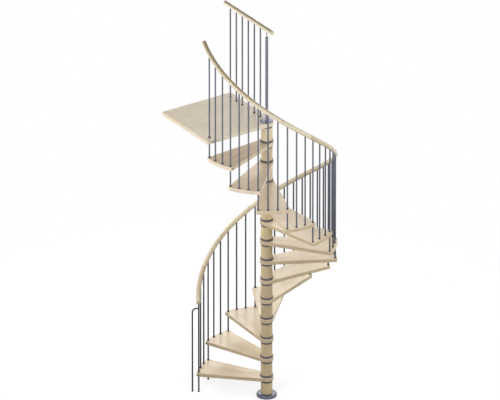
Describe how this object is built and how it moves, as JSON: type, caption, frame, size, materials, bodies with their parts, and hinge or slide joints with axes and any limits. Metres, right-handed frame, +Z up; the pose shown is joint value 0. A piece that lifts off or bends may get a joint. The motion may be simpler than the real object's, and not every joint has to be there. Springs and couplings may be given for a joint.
{
  "type": "spiral staircase",
  "caption": "Clockwise spiral staircase with wooden treads on a central column, a square landing board, round bar balusters and a wound wooden handrail.",
  "frame": {"origin": "centre of the floor flange's underside, on the column's axis, on the floor", "axes": "+Z up along the column; +Y away from the picture's viewer and +X to its right; the first tread's nose points to -X and the stair climbs clockwise seen from above"},
  "size_m": [1.7485, 1.418, 4.0899],
  "materials": {
    "flange_metal": "satin blue-grey powder coat",
    "tube_steel": "plain drawn steel tube",
    "spacer_beech": "satin lacquered beech",
    "dark_rings": "dark grey moulded ring",
    "tread_beech": "satin lacquered beech staves",
    "landing_beech": "satin lacquered beech staves",
    "cap_metal": "satin blue-grey powder coat",
    "newel_metal": "satin blue-grey powder coat",
    "rod_metal": "satin grey powder coat",
    "rail_beech": "satin lacquered beech"
  },
  "bodies": {
    "root": {"base_flange": "flange_metal", "column_tube": "tube_steel", "column_spacers": "spacer_beech", "upper_rings": "dark_rings", "lower_rings": "dark_rings", "tread_01": "tread_beech", "tread_02": "tread_beech", "tread_03": "tread_beech", "tread_04": "tread_beech", "tread_05": "tread_beech", "tread_06": "tread_beech", "tread_07": "tread_beech", "tread_08": "tread_beech", "tread_09": "tread_beech", "tread_10": "tread_beech", "tread_11": "tread_beech", "tread_12": "tread_beech", "tread_13": "tread_beech", "landing": "landing_beech", "column_cap": "cap_metal", "newel_post": "newel_metal", "landing_balusters": "rod_metal", "landing_handrail": "rail_beech", "first_baluster": "rod_metal", "balusters_01": "rod_metal", "balusters_02": "rod_metal", "balusters_03": "rod_metal", "balusters_04": "rod_metal", "balusters_05": "rod_metal", "balusters_06": "rod_metal", "balusters_07": "rod_metal", "balusters_08": "rod_metal", "balusters_09": "rod_metal", "balusters_10": "rod_metal", "balusters_11": "rod_metal", "balusters_12": "rod_metal", "balusters_13": "rod_metal", "brace_rod": "rod_metal", "handrail_1": "rail_beech", "handrail_2": "rail_beech", "handrail_3": "rail_beech", "handrail_4": "rail_beech", "handrail_5": "rail_beech", "handrail_6": "rail_beech"}
  },
  "joints": []
}
